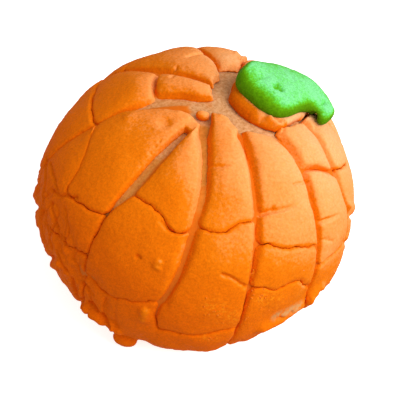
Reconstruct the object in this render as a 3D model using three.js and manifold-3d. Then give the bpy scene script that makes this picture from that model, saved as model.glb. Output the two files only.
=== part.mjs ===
// A pumpkin concha: a round sweet bun under a coat of orange sugar paste, cut into ribs that run
// from a bare hub to the rim, cracked in the oven into plates, with a green paste leaf at the hub.
// Millimetres, +Z up. The origin is the middle of the flat base.

import * as THREE from "three";
import { mergeVertices } from "three/addons/utils/BufferGeometryUtils.js";
import Module from "manifold-3d";

// The bun: a rounded dome above its widest level, tucked in below it, flat underneath
const DOUGH_RADIUS = 51.2;
const WIDEST_HEIGHT = 18;
const DOME_RISE = 41.5;
const UNDER_DEPTH = 30;
const ROUNDNESS = 2.4;
const DOUGH_SIDES = 48;
const DOUGH_RINGS = 27;
const BASE_RING = 23;

// Where the bun swells or sinks a little: a turn round from the right, a rise above the widest level,
// the height there and the angle over which it fades
const UNEVEN = [
  { turn: -84, rise: -8, height: 1.5, spread: 20 },
  { turn: 208, rise: -4, height: -1.5, spread: 20 },
  { turn: 155, rise: 22, height: -2.6, spread: 20 },
  { turn: 60, rise: 5, height: 0.8, spread: 25 },
  { turn: -52, rise: -8, height: -1.6, spread: 18 },
  { turn: 88, rise: 38, height: 1.6, spread: 22 },
];

// The hub, where the cuts meet, lies off the bun's axis, and the dough swells up through it
const HUB_X = 8.4;
const HUB_Y = 9.1;
const HUB_SWELL = 1.2;
const HUB_SWELL_FALL = 12;

// The paste coat
const PASTE_AT_HUB = 4.5;
const PASTE_AT_RIM = 2.4;
const PASTE_THINNING = 1.5;
const RIM_ELEVATION = -14;
const RIM_WAVE = 1.4;
const SEAT_GAP = 0.5;

// How two plates meet: how far apart they are at the top and at the foot, and the share of the paste's
// depth that is left at the edge. A negative width reaches out.
const CRACK = { top: 0.5, foot: 0.45, edge: 0.92 };
const OPEN_CRACK = { top: 2, foot: 0.6, edge: 0.7 };
const HUB_END = { top: 0, foot: -1.6, edge: 0.55 };
const RIM_END = { top: 0, foot: 0, edge: 0.5 };
const CUT_EDGE = 0.78;

// A plate's pillowed form
const CUT_BEVEL = 1;
const CRACK_BEVEL = 0.7;
const BEVEL_SHARE = 0.25;
const CUT_SHOULDER = 1.8;
const CRACK_SHOULDER = 1.5;
const CROWN = 0.35;
const CORNER = 1.2;
const DEPTH_SPREAD = 0.16;
const DEPTH_SEED = 7;
const CELL = 4.7;
const SCORE_HALF_WIDTH = 0.9;
const SCORE_DEPTH = 1.3;
const SAME_PLACE = 1e-6;
const MEAN_REACH = 51;
const RIM_STEPS = 4;
const NEAR_RIM = 100;
const RIB_MIDDLE = 62;

// The leaf, laid out on the coat: distance out from the hub to the right, then its near and far edges
const LEAF_OUTLINE = [
  [4.6, -1, 1],
  [6.4, -4.5, 4.5],
  [10, -8, 9.5],
  [13.5, -10.5, 13],
  [17.5, -11.5, 14.5],
  [21, -10, 15],
  [25.5, -5, 14.5],
  [29, -2.5, 12.5],
  [31, -3, 10.5],
  [33.2, -6, 7.5],
  [34.5, -5.5, 4.5],
  [35.2, -2.5, 1],
];
const LEAF_LIFT = 0.6;
const LEAF_SIDES = 18;
const LEAF_RINGS = 24;
const LEAF_TOP = { depth: 4, across: 0.8, height: 0.85 };
const LEAF_FOOT = { depth: 1.8, across: 0.8, height: 0.2 };

// Lumps of paste: a crumb left at the hub, a drip that hangs on the rim, and two flakes stuck to the coat
const LUMP_DETAIL = 2;
const FLAKE = { fall: 97, bearing: -18, lift: 2.4, across: 1.8, tall: 2.3, out: 1.3 };
const FLECK = { fall: 76, bearing: -17, lift: 3.4, across: 1.4, tall: 1.1, out: 0.8 };
const HUB_CRUMB = { fall: 14.6, bearing: -33, across: 1.3, tall: 1.7 };
const DRIP = { aboveRim: -0.4, bearing: -25, lift: 2.9, across: 4.4, tall: 3, out: 2.6 };

// The cuts, counter-clockwise from the back left, as rows of fall from the hub, bearing round it, width
// between the plates' top edges and width of the bare dough between their feet. Bearing 0 faces the front,
// 90 the right.
const CUTS = [
  [[4, -128, 1.6, 0.8], [15.7, -124.5, 2.6, 0.8], [28.5, -127, 3.8, 0.5], [50, -127.5, 2.2, 0.3],
    [110, -125, 1, 0.3]],
  [[5, -29, 2, 1.4], [14.7, -70, 7.4, 6], [20, -72, 10.4, 8.6], [25, -80.5, 9.2, 7.4], [32, -80.5, 5, 3.4],
    [39, -81.5, 2, 0.8], [53, -81.5, 0.9, 0.3], [110, -86, 0.7, 0.3]],
  [[18, -28, 2.6, 0.8], [31, -34, 4.3, 2.2], [44, -36.6, 5.1, 3.2], [56, -38.2, 5, 3.4], [62, -39.3, 3.6, 2],
    [67.5, -41, 1.2, 0.4], [80, -42, 0.7, 0.3], [115, -43, 0.7, 0.3]],
  [[14, -24, 4.8, 2.6], [20, -18.5, 4.8, 2.2], [34, -10.1, 5, 1.4], [45, -8, 4.8, 1.2], [56, -7.5, 4.8, 0.8],
    [66, -8.1, 4.2, 0.4], [82, -10, 2.6, 0.3], [96, -15, 1.2, 0.3], [104, -13, 0.9, 0.3], [106, -13, -1, -1]],
  [[20, 21, 2.8, 0.6], [32, 18.8, 3.5, 0.4], [44, 17.9, 3.5, 0.3], [60, 16.6, 3, 0.3], [80, 15, 2.2, 0.3],
    [96, 15, 1.2, 0.3], [118, 15, 0.7, 0.3]],
  [[28, 50, 4.8, 1.4], [37, 49.5, 3.9, 0.5], [49, 46, 3, 0.3], [62, 44.5, 2.2, 0.3], [88, 44, 1.4, 0.3],
    [114, 44, 0.7, 0.3]],
  [[36, 79, 2.8, 0.4], [46, 70, 2.8, 0.3], [59, 66, 2.4, 0.3], [80, 68, 1.4, 0.3], [112, 70, 0.7, 0.3]],
  [[34, 99, 2.8, 0.5], [60, 95, 2.8, 0.3], [108, 96, 1, 0.3]],
  [[30, 125, 3, 0.5], [60, 122, 2.8, 0.3], [106, 124, 1, 0.3]],
  [[18, 154.5, 1.4, 0.4], [29, 159, 1.6, 0.3], [40, 159, 2.2, 0.3], [104, 155, 1, 0.3]],
  [[10, 176, 1.8, 0.5], [20, 180, 2.4, 0.3], [28, 188, 1.8, 0.3], [36, 189, 1.1, 0.3], [104, 191, 1, 0.3]],
];

// The ribs between neighbouring cuts. A line runs from a rib's left cut (0) to its right cut (1) and gives
// the fall there: first the rib's end, at the hub or where it meets the leaf's seat, then each crack across
// it, one of which may stand open. A score is a crack that stops short: the plate it marks, how far down
// that plate it lies, and the stretch that it covers.
const RIBS = [
  { lines: [[[0, 4.5], [1, 5]], [[0, 28.7], [0.5, 27.3], [1, 27]], [[0, 57], [0.5, 53], [1, 52]],
    [[0, 84], [1, 87]]],
    openCrack: 1, scores: [{ plate: 2, at: 0.5, from: 0, to: 0.45 }] },
  { lines: [[[0, 21], [0.4, 19], [1, 20]], [[0, 51], [0.2, 55], [0.45, 62], [0.52, 68], [0.8, 72], [1, 70]],
    [[0, 84], [0.5, 90], [1, 86]]] },
  { lines: [[[0, 20], [0.4, 22], [1, 28]], [[0, 59], [0.5, 60], [0.75, 64], [1, 63.5]],
    [[0, 92], [0.25, 96], [0.5, 97], [1, 91]]] },
  { lines: [[[0, 13.5], [0.35, 14], [0.66, 18], [1, 27]], [[0, 62], [0.45, 60.5], [0.6, 58], [1, 58]],
    [[0, 104], [0.4, 102.5], [1, 98.5]]],
    scores: [{ plate: 0, at: 0.54, from: 0, to: 0.35 }] },
  { lines: [[[0, 22], [1, 28]], [[0, 66], [0.6, 67], [1, 72]], [[0, 81], [0.5, 80.5], [0.75, 82], [1, 88]]],
    scores: [{ plate: 0, at: 0.71, from: 0, to: 0.55 }] },
  { meetsSeat: true, lines: [[[0, 27.5], [1, 33]], [[0, 45], [0.4, 47], [1, 53]], [[0, 80], [1, 78]]],
    openCrack: 1, scores: [{ plate: 1, at: 0.53, from: 0, to: 0.5 }] },
  { meetsSeat: true, lines: [[[0, 33], [1, 37]], [[0, 53], [0.5, 57], [1, 56]], [[0, 79], [1, 82]]],
    scores: [{ plate: 1, at: 0.45, from: 0.45, to: 1 }] },
  { meetsSeat: true, lines: [[[0, 37], [1, 36.5]], [[0, 58], [0.5, 59], [1, 64]],
    [[0, 86], [0.6, 80], [1, 82]]],
    scores: [{ plate: 1, at: 0.5, from: 0, to: 0.5 }] },
  { meetsSeat: true, lines: [[[0, 36.5], [0.6, 34], [0.8, 23], [1, 19.5]], [[0, 59], [0.35, 52], [1, 55]],
    [[0, 79], [0.5, 83], [1, 82]]],
    scores: [{ plate: 1, at: 0.4, from: 0.4, to: 1 }] },
  { lines: [[[0, 21], [1, 18]], [[0, 50], [0.6, 56], [1, 58]], [[0, 84], [0.4, 78], [1, 80]]],
    scores: [{ plate: 1, at: 0.5, from: 0, to: 0.55 }] },
  { lines: [[[0, 10], [1, 4.5]], [[0, 46], [0.5, 43], [1, 49]], [[0, 76], [0.3, 81], [1, 79]]],
    scores: [{ plate: 0, at: 0.5, from: 0, to: 0.5 }, { plate: 1, at: 0.55, from: 0.4, to: 1 }] },
];

// The plate that the leaf sits on fills the ends of the ribs behind the hub
const LEAF_SEAT = {
  left: [[5, 44, 0, -1], [10.5, 36, 0, -1], [16, 41.5, 0, -1], [22, 49, 0, -1], [34, 60, 0, -1]],
  right: [[6, 126, 0, 0], [12, 138, 0, 0], [20, 147, 0, 0], [34, 143, 0, 0]],
  upper: { line: [[0, 5.5], [0.5, 4.5], [1, 7]], ...HUB_END },
  lower: { line: [[0, 27], [0.3, 32.5], [0.5, 36.8], [0.75, 36.3], [1, 33]], ...CRACK },
};

// The tongue of paste that joins the two plates on either side of the diagonal cut
const TONGUE = {
  left: [[18, -50, 0, 0], [30, -44, 0, 0]],
  right: [[19, -30, 0, 0], [23, -24, 0, 0], [28, -19, 0, 0], [33, -16, 0, 0]],
  upper: { line: [[0, 18.8], [0.6, 19], [1, 20.5]], ...HUB_END },
  lower: { line: [[0, 26], [0.6, 27], [1, 30]], ...OPEN_CRACK },
};

const { degToRad, radToDeg, lerp, clamp, smoothstep, seededRandom } = THREE.MathUtils;
const wasm = await Module();
wasm.setup();

const middle = new THREE.Vector3(0, 0, WIDEST_HEIGHT);
const hubAxis = hubDirection();
const toFront = new THREE.Vector3(0, -1, 0).projectOnPlane(hubAxis).normalize();
const toRight = new THREE.Vector3().crossVectors(toFront, hubAxis).negate();
const unevenness = UNEVEN.map((swell) => ({
  ...swell,
  towards: new THREE.Vector3(1, 0, 0)
    .applyAxisAngle(new THREE.Vector3(0, -1, 0), degToRad(swell.rise))
    .applyAxisAngle(new THREE.Vector3(0, 0, 1), degToRad(swell.turn)),
}));

// The direction from the middle of the widest level to the hub on the dough
function hubDirection() {
  const level = (Math.hypot(HUB_X, HUB_Y) / DOUGH_RADIUS) ** ROUNDNESS;
  const rise = DOME_RISE * (1 - level) ** (1 / ROUNDNESS);
  return new THREE.Vector3(HUB_X, HUB_Y, rise).normalize();
}

// The values of a list of rows at a place along it, the first number of each row being the place
function along(rows, place) {
  const next = rows.findIndex((row) => row[0] > place);
  if (next === 0) return rows[0].slice(1);
  if (next < 0) return rows.at(-1).slice(1);
  const [before, after] = [rows[next - 1], rows[next]];
  const share = (place - before[0]) / (after[0] - before[0]);
  return before.slice(1).map((value, k) => lerp(value, after[k + 1], share));
}

// A direction from the middle, by its fall from the hub and its bearing round it
function direction(fall, bearing) {
  const [down, round] = [degToRad(fall), degToRad(bearing)];
  return hubAxis.clone().multiplyScalar(Math.cos(down))
    .addScaledVector(toFront, Math.sin(down) * Math.cos(round))
    .addScaledVector(toRight, Math.sin(down) * Math.sin(round));
}

// How far the dough's skin lies from the middle in a direction
function doughReach(towards) {
  const level = Math.hypot(towards.x, towards.y);
  const rise = towards.z > 0 ? DOME_RISE : UNDER_DEPTH;
  const power = (level / DOUGH_RADIUS) ** ROUNDNESS + (Math.abs(towards.z) / rise) ** ROUNDNESS;
  const swells = [{ towards: hubAxis, height: HUB_SWELL, spread: HUB_SWELL_FALL }, ...unevenness];
  const lift = swells.reduce((sum, swell) => {
    const off = radToDeg(towards.angleTo(swell.towards)) / swell.spread;
    return sum + swell.height * Math.exp(-(off ** 2));
  }, 0);
  return power ** (-1 / ROUNDNESS) + lift;
}

// The fall at which the coat ends on a bearing
function rimFall(bearing) {
  const round = degToRad(bearing);
  const slope = toFront.z * Math.cos(round) + toRight.z * Math.sin(round);
  const wave = RIM_WAVE * (Math.sin(5 * round) + Math.sin(8 * round + 1)) / 2;
  const drop = Math.sin(degToRad(RIM_ELEVATION + wave)) / Math.hypot(hubAxis.z, slope);
  return radToDeg(Math.atan2(slope, hubAxis.z) + Math.acos(drop));
}

function pasteDepth(fall, bearing) {
  const share = clamp(fall / rimFall(bearing), 0, 1) ** PASTE_THINNING;
  return lerp(PASTE_AT_HUB, PASTE_AT_RIM, share);
}

function surfacePoint(fall, bearing, lift) {
  const towards = direction(fall, bearing);
  return towards.multiplyScalar(doughReach(towards) + lift).add(middle);
}

// The angle, in degrees, that a length takes up on the coat
function angleOf(length) {
  return radToDeg(length / MEAN_REACH);
}

// A rise from nothing at the ends of a length to one at its middle
function arch(share) {
  return 4 * share * (1 - share);
}

// Places along a length: its ends, its bevels, any scores, and even steps between them
function stations(length, widest, scoredAt = []) {
  const scored = scoredAt.flatMap((share) => [-1, 0, 1].map((k) => share * length + k * SCORE_HALF_WIDTH));
  const bevel = Math.min(widest, length * BEVEL_SHARE);
  const marks = [0, bevel, ...scored, length - bevel, length].sort((a, b) => a - b);
  const steps = marks.slice(0, -1).flatMap((mark, k) => {
    const count = Math.max(1, Math.round((marks[k + 1] - mark) / CELL));
    return Array.from({ length: count }, (_, i) => lerp(mark, marks[k + 1], i / count));
  });
  return [...steps, length].map((place) => place / length);
}

// Draws a place near a corner of the plate in to a rounded outline
function roundCorner(share, other, length, otherLength) {
  const [corner, otherCorner] = [CORNER / length, CORNER / otherLength];
  const near = Math.min(share, 1 - share);
  const otherNear = Math.min(other, 1 - other);
  if (near > corner || otherNear > otherCorner) return share;
  const past = 1 - near / corner;
  const otherPast = 1 - otherNear / otherCorner;
  const drawn = corner * (1 - past * Math.sqrt(1 - otherPast ** 2 / 2));
  return share < 0.5 ? drawn : 1 - drawn;
}

// A geometry with its shared vertices merged and nothing but positions left
function bare(geometry) {
  geometry.deleteAttribute("normal");
  geometry.deleteAttribute("uv");
  return mergeVertices(geometry);
}

function bareBall(sides, rings) {
  return bare(new THREE.SphereGeometry(1, sides, rings));
}

// A closed box of columns by rows, whose vertices are placed by their column, row and face
function shapedBox(columns, rows, place) {
  const geometry = bare(new THREE.BoxGeometry(1, 1, 1, columns, rows, 1));
  const at = geometry.attributes.position;
  for (let k = 0; k < at.count; k++) {
    const column = Math.round((at.getX(k) + 0.5) * columns);
    const row = Math.round((0.5 - at.getY(k)) * rows);
    const point = place(column, row, at.getZ(k) > 0);
    at.setXYZ(k, point.x, point.y, point.z);
  }
  return geometry;
}

// One plate of paste between two cuts and two cracks, pillowed, with walls that slant out at the foot
function plateGeometry({ left, right, upper, lower, columns, scores = [], depthShare = 1 }) {
  const spot = (down, across, onTop) => {
    const gap = (edge) => angleOf(onTop ? edge.top : edge.foot) / 2;
    const [start] = along(upper.line, across);
    const [end] = along(lower.line, across);
    const fall = lerp(start + gap(upper), end - gap(lower), down);
    const ring = Math.sin(degToRad(fall));
    const [[from, fromTop, fromFoot], [to, toTop, toFoot]] = [left, right].map((cut) => along(cut, fall));
    const first = from + gap({ top: fromTop, foot: fromFoot }) / ring;
    const last = to - gap({ top: toTop, foot: toFoot }) / ring;
    return { fall, bearing: lerp(first, last, across), width: degToRad(last - first) * ring * MEAN_REACH };
  };
  const length = degToRad(spot(1, 0.5, true).fall - spot(0, 0.5, true).fall) * MEAN_REACH;
  const width = spot(0.5, 0.5, true).width;
  const downs = stations(length, CRACK_BEVEL, scores.map((score) => score.at));
  const acrosses = columns ?? stations(width, CUT_BEVEL);
  const scored = (down, across) => scores.some(({ at, from, to }) => (
    Math.abs(down - at) < SAME_PLACE && across >= from && across <= to
  ));
  const shoulder = (edge, inside, reach) => lerp(edge, 1, smoothstep(inside, 0, reach));
  return shapedBox(acrosses.length - 1, downs.length - 1, (column, row, onTop) => {
    const down = roundCorner(downs[row], acrosses[column], length, width);
    const across = roundCorner(acrosses[column], downs[row], width, length);
    const { fall, bearing } = spot(down, across, onTop);
    if (!onTop) return surfacePoint(fall, bearing, SEAT_GAP);
    const share = depthShare
      * shoulder(CUT_EDGE, Math.min(across, 1 - across) * width, CUT_SHOULDER)
      * shoulder(upper.edge, down * length, CRACK_SHOULDER)
      * shoulder(lower.edge, (1 - down) * length, CRACK_SHOULDER);
    const crown = CROWN * arch(down) * arch(across);
    const groove = scored(downs[row], acrosses[column]) ? SCORE_DEPTH : 0;
    return surfacePoint(fall, bearing, pasteDepth(fall, bearing) * share + crown - groove);
  });
}

// The elevation of one of the dough's rings, from its top down to the edge of its base and then under it
function ringElevation(ring) {
  const tuck = (1 - (WIDEST_HEIGHT / UNDER_DEPTH) ** ROUNDNESS) ** (1 / ROUNDNESS);
  const baseEdge = -Math.atan2(WIDEST_HEIGHT, DOUGH_RADIUS * tuck);
  if (ring <= BASE_RING) return lerp(Math.PI / 2, baseEdge, ring / BASE_RING);
  return lerp(baseEdge, -Math.PI / 2, (ring - BASE_RING) / (DOUGH_RINGS - BASE_RING));
}

// The dough: a ball drawn out to the bun's skin, flat from the edge of its base inwards
function doughGeometry() {
  const geometry = bareBall(DOUGH_SIDES, DOUGH_RINGS).rotateX(Math.PI / 2);
  const at = geometry.attributes.position;
  const towards = new THREE.Vector3();
  for (let k = 0; k < at.count; k++) {
    towards.fromBufferAttribute(at, k);
    const ring = Math.round(DOUGH_RINGS * Math.acos(clamp(towards.z, -1, 1)) / Math.PI);
    const turn = Math.atan2(towards.y, towards.x);
    const rise = ringElevation(ring);
    towards.set(Math.cos(rise) * Math.cos(turn), Math.cos(rise) * Math.sin(turn), Math.sin(rise));
    const floor = ring > BASE_RING ? -WIDEST_HEIGHT / towards.z : Infinity;
    const point = towards.clone().multiplyScalar(Math.min(doughReach(towards), floor)).add(middle);
    at.setXYZ(k, point.x, point.y, ring >= BASE_RING ? 0 : point.z);
  }
  return geometry;
}

// The leaf: a soft pad that follows the coat, its outline given from the hub outwards
function leafGeometry() {
  const geometry = bareBall(LEAF_SIDES, LEAF_RINGS).rotateZ(-Math.PI / 2);
  const at = geometry.attributes.position;
  const rounded = (value, power) => Math.sign(value) * Math.abs(value) ** power;
  const [start, end] = [LEAF_OUTLINE[0][0], LEAF_OUTLINE.at(-1)[0]];
  for (let k = 0; k < at.count; k++) {
    const ring = Math.hypot(at.getY(k), at.getZ(k)) || 1;
    const section = at.getZ(k) < 0 ? LEAF_FOOT : LEAF_TOP;
    const out = lerp(start, end, (at.getX(k) + 1) / 2);
    const [near, far] = along(LEAF_OUTLINE, out);
    const back = lerp(near, far, (rounded(at.getY(k) / ring, section.across) + 1) / 2);
    const fall = angleOf(Math.hypot(out, back));
    const bearing = radToDeg(Math.atan2(out, -back));
    const height = LEAF_FOOT.depth + section.depth * rounded(at.getZ(k) / ring, section.height);
    const point = surfacePoint(fall, bearing, pasteDepth(fall, bearing) + LEAF_LIFT + height);
    at.setXYZ(k, point.x, point.y, point.z);
  }
  return geometry;
}

// A lump of paste on the coat or the dough, drawn out across, upright and outwards
function lumpGeometry({ fall, bearing, lift, across, tall, out }) {
  const outwards = direction(fall, bearing);
  const sideways = new THREE.Vector3(-outwards.y, outwards.x, 0).normalize();
  const upwards = new THREE.Vector3().crossVectors(outwards, sideways);
  const turn = new THREE.Matrix4().makeBasis(
    sideways.multiplyScalar(across), upwards.multiplyScalar(tall), outwards.clone().multiplyScalar(out),
  );
  const centre = surfacePoint(fall, bearing, lift);
  return bare(new THREE.IcosahedronGeometry(1, LUMP_DETAIL)).applyMatrix4(turn.setPosition(centre));
}

function toSolid(geometry) {
  const vertProperties = Float32Array.from(geometry.attributes.position.array);
  const triVerts = Uint32Array.from(geometry.index.array);
  return new wasm.Manifold(new wasm.Mesh({ numProp: 3, vertProperties, triVerts }));
}

function united(geometries) {
  const mesh = geometries.map(toSolid).reduce((whole, solid) => whole.add(solid)).getMesh();
  const geometry = new THREE.BufferGeometry();
  geometry.setAttribute("position", new THREE.BufferAttribute(mesh.vertProperties, 3));
  geometry.setIndex(new THREE.BufferAttribute(mesh.triVerts, 1));
  return geometry;
}

// The columns that all plates of a rib share, so that they meet along one line
function ribColumns(left, right) {
  const [from, to] = [left, right].map((cut) => along(cut, RIB_MIDDLE)[0]);
  const width = degToRad(to - from) * Math.sin(degToRad(RIB_MIDDLE)) * MEAN_REACH;
  return stations(width, CUT_BEVEL);
}

// Every plate's geometry, rib by rib, from the hub to the rim
function ribPlates() {
  return RIBS.map((rib, k) => {
    const left = CUTS[k];
    const firstAgain = CUTS[0].map(([fall, bearing, ...widths]) => [fall, bearing + 360, ...widths]);
    const right = CUTS[k + 1] ?? firstAgain;
    const [from, to] = [left, right].map((cut) => along(cut, NEAR_RIM)[0]);
    const rim = Array.from({ length: RIM_STEPS + 1 }, (_, n) => {
      const across = n / RIM_STEPS;
      return [across, rimFall(lerp(from, to, across))];
    });
    const edges = rib.lines.map((line, n) => ({ line, ...(n === rib.openCrack ? OPEN_CRACK : CRACK) }));
    if (!rib.meetsSeat) Object.assign(edges[0], HUB_END);
    edges.push({ line: rim, ...RIM_END });
    const columns = ribColumns(left, right);
    return edges.slice(0, -1).map((upper, n) => plateGeometry({
      left, right, upper, columns,
      lower: edges[n + 1],
      scores: rib.scores?.filter((score) => score.plate === n),
      depthShare: n === 0 ? 1 : 1 + DEPTH_SPREAD * (seededRandom() - 0.5),
    }));
  });
}

const paste = new THREE.MeshStandardMaterial({ color: 0xe8801f, roughness: 0.85, metalness: 0 });
const crumb = new THREE.MeshStandardMaterial({ color: 0xd39a5e, roughness: 0.8, metalness: 0 });
const green = new THREE.MeshStandardMaterial({ color: 0x5cc43c, roughness: 0.85, metalness: 0 });

const concha = new THREE.Group();

function add(name, geometry, material) {
  geometry.computeVertexNormals();
  const mesh = new THREE.Mesh(geometry, material);
  mesh.name = name;
  concha.add(mesh);
}

seededRandom(DEPTH_SEED);
const plates = ribPlates();
const [, leftOfDiagonal, rightOfDiagonal, frontRib] = plates;
const forked = united([leftOfDiagonal.shift(), rightOfDiagonal.shift(), plateGeometry(TONGUE)]);
const dripFall = rimFall(DRIP.bearing) - DRIP.aboveRim;
const drip = lumpGeometry({ ...DRIP, fall: dripFall });
const rimStrip = united([rightOfDiagonal.pop(), frontRib.pop(), drip, lumpGeometry(FLAKE)]);
rightOfDiagonal.push(united([rightOfDiagonal.pop(), lumpGeometry(FLECK)]));

add("dough", doughGeometry(), crumb);
add("forked_plate", forked, paste);
plates.forEach((rib, k) => rib.forEach((geometry, n) => {
  add(`rib_${String(k + 1).padStart(2, "0")}_plate_${n + 1}`, geometry, paste);
}));
add("rim_strip", rimStrip, paste);
add("leaf_seat", plateGeometry(LEAF_SEAT), paste);
add("leaf", leafGeometry(), green);
const hubCrumbLift = HUB_CRUMB.tall + SEAT_GAP;
add("hub_crumb", lumpGeometry({ ...HUB_CRUMB, out: HUB_CRUMB.tall, lift: hubCrumbLift }), paste);

export default concha;
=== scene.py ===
"""Looks of a pumpkin concha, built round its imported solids: paste plates, dough, leaf and crumbs.

Lengths are in metres. Spots and lines "in the picture" are pixels of the square picture that the camera
takes, and each is carried along its line of sight to the surface that it marks.
"""

import math

import bmesh
import bpy
import numpy as np
from mathutils import Matrix, Vector
from mathutils.bvhtree import BVHTree


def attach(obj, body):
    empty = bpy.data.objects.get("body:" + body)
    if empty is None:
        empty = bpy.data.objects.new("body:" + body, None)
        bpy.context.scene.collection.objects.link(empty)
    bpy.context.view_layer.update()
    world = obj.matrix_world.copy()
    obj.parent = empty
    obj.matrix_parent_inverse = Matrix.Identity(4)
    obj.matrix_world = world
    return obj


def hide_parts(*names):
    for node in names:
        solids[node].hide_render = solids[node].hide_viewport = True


MM = 0.001
BODY = "root"
SEED = 11

# The camera and its picture
CAMERA_AIM = Vector((2.17, 1.37, 19.23)) * MM
CAMERA_ELEVATION = math.radians(48)
CAMERA_DISTANCE = 450 * MM
CAMERA_LENS = 118.9
CAMERA_SENSOR = 36.0
PICTURE_SIDE = 400

# The light
KEY_AZIMUTH = math.radians(66)
KEY_ELEVATION = math.radians(43.5)
KEY_DISTANCE = 900 * MM
KEY_SIZE = 700 * MM
KEY_POWER = 8.2
WORLD_STRENGTH = 0.575
FLOOR_SIDE = 6.0
FLOOR_GLOW = 0.7

# The bun's form, the heights over which the rim's raggedness and the crust below it fade out, and the drip
# that stays smooth: its place in the picture and its half width in pixels
MIDDLE = np.array([0, 0, 18]) * MM
DOUGH_RADIUS = 51.2 * MM
DOME_RISE = 41.5 * MM
UNDER_DEPTH = 30 * MM
ROUNDNESS = 2.4
COAT_REACH = 54 * MM
RIM_TOP = 14 * MM
RIM_FOOT = 8 * MM
CRUST_SPAN = (4 * MM, 10 * MM)
CALM_DRIP = ((126, 344), 16)

# The nodes of paste, or how their names start, and those that are soft or are small lumps
PASTE_NODES = ("rib_", "rim_strip", "forked_plate", "leaf_seat", "hub_crumb")
SOFT_NODES = ("leaf_seat",)
LUMP_NODES = ("hub_crumb",)

# Fineness of the meshes
MERGE_GAP = 0.005 * MM
FACET_ANGLE = 1.0
ROUNDING_LEVELS = 2
PASTE_VOXEL = 0.42 * MM
DOUGH_VOXEL = 0.66 * MM
LEAF_VOXEL = 0.38 * MM
SMOOTH_FACTOR = 0.5
PASTE_SMOOTHING = 4
SOFT_SMOOTHING = 44
SOFT_SWELL = 0.8 * MM
LEAF_SMOOTHING = 100
DOUGH_SMOOTHING = 2
SHARP_ANGLE = math.radians(33)
CRISPNESS = 0.8

# How far the dough rises over its solid, and more where paste hides it, and the height of its base that stays
SEAT_LIFT = 0.6 * MM
HIDDEN_LIFT = 0.55 * MM
BASE_HEIGHT = 3 * MM

# How plates close up on a crack: the widest gap that counts, the gap up to which it counts in full, the gap
# that is left, the heights over the dough between which an edge turns ragged, and how far its lip sinks
CRACK_REACH = 1.4 * MM
CRACK_FULL = 0.8 * MM
CRACK_GAP = 0.12 * MM
CRACK_TOP = (0.8 * MM, 1.8 * MM)
LIP_SINK = 0.35 * MM

# Where a crack is faint in the picture, with how far its filling spreads and the share that is filled, and
# how far the plates of a filled crack overlap and their edges rise
FAINT_CRACKS = [
    ([(92, 128), (78, 137), (64, 147), (52, 157)], 3.5 * MM, 1.0),
    ([(92, 132), (88, 142), (82, 164), (78, 178)], 3.0 * MM, 0.3),
]
FILL_OVERLAP = 0.4 * MM
FILL_RISE = 0.55 * MM

# Unevenness, as pairs of a bump's size and its height, with how long and how narrow the folds are, and how a
# small lump swells and leans
PASTE_WANDER = [(9 * MM, 0.45 * MM), (3 * MM, 0.1 * MM)]
CRACK_WANDER = [(3.2 * MM, 0.55 * MM), (1.5 * MM, 0.35 * MM)]
RIM_WANDER = [(6 * MM, 1.0 * MM), (2.6 * MM, 0.4 * MM)]
RIM_FRAY = [(4.5 * MM, 0.5 * MM), (2 * MM, 0.2 * MM)]
ROUGH_LUMPS = [(5 * MM, 0.7 * MM), (2.2 * MM, 0.35 * MM)]
ROUGH_FOLDS = [(7 * MM, 1.1 * MM), (4 * MM, 0.7 * MM)]
FOLD_STRETCH = (1, 1, 0.45)
FOLD_WIDTH = 0.13
LUMPY = [(2.6 * MM, 0.6 * MM), (1.5 * MM, 0.25 * MM)]
LUMP_SWELL = 0.15 * MM
LUMP_LEAN = (0.4, 0, -0.2)
PASTE_LUMPS = [(14 * MM, 0.5 * MM), (6 * MM, 0.22 * MM), (2.4 * MM, 0.06 * MM)]
PASTE_GRAIN = [(1.1 * MM, 0.045 * MM), (0.75 * MM, 0.05 * MM)]
DOUGH_LUMPS = [(9 * MM, 0.35 * MM), (3 * MM, 0.16 * MM)]
DOUGH_GRAIN = [(1.5 * MM, 0.06 * MM), (1.1 * MM, 0.05 * MM)]
LEAF_LUMPS = [(9 * MM, 0.35 * MM), (4 * MM, 0.1 * MM)]
LEAF_GRAIN = [(1.3 * MM, 0.06 * MM), (0.8 * MM, 0.04 * MM)]
MARK_WANDER = [(2.5 * MM, 0.5 * MM), (1.2 * MM, 0.3 * MM)]

# Where in the noise each kind of unevenness is read
WANDER_SHIFT = 17.3
FRAY_SHIFT = 8.6
RIM_SHIFT = 3.3
FOLD_SHIFT = 21.7
ROUGH_SHIFT = 6.4
LUMPY_SHIFT = 1.9
GRAIN_SHIFT = 5.1
DOUGH_LUMP_SHIFT = 2.7
DOUGH_GRAIN_SHIFT = 9.4
LEAF_SHIFT = 4.2

# Lines in the picture that more than one list uses: the fold under the flap, and the wall of the leaf's seat
FLAP_FOLD = [(90, 304), (96, 310), (102, 316), (109, 324)]
SEAT_WALL = [(229, 92), (234, 104), (248, 116)]

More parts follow.
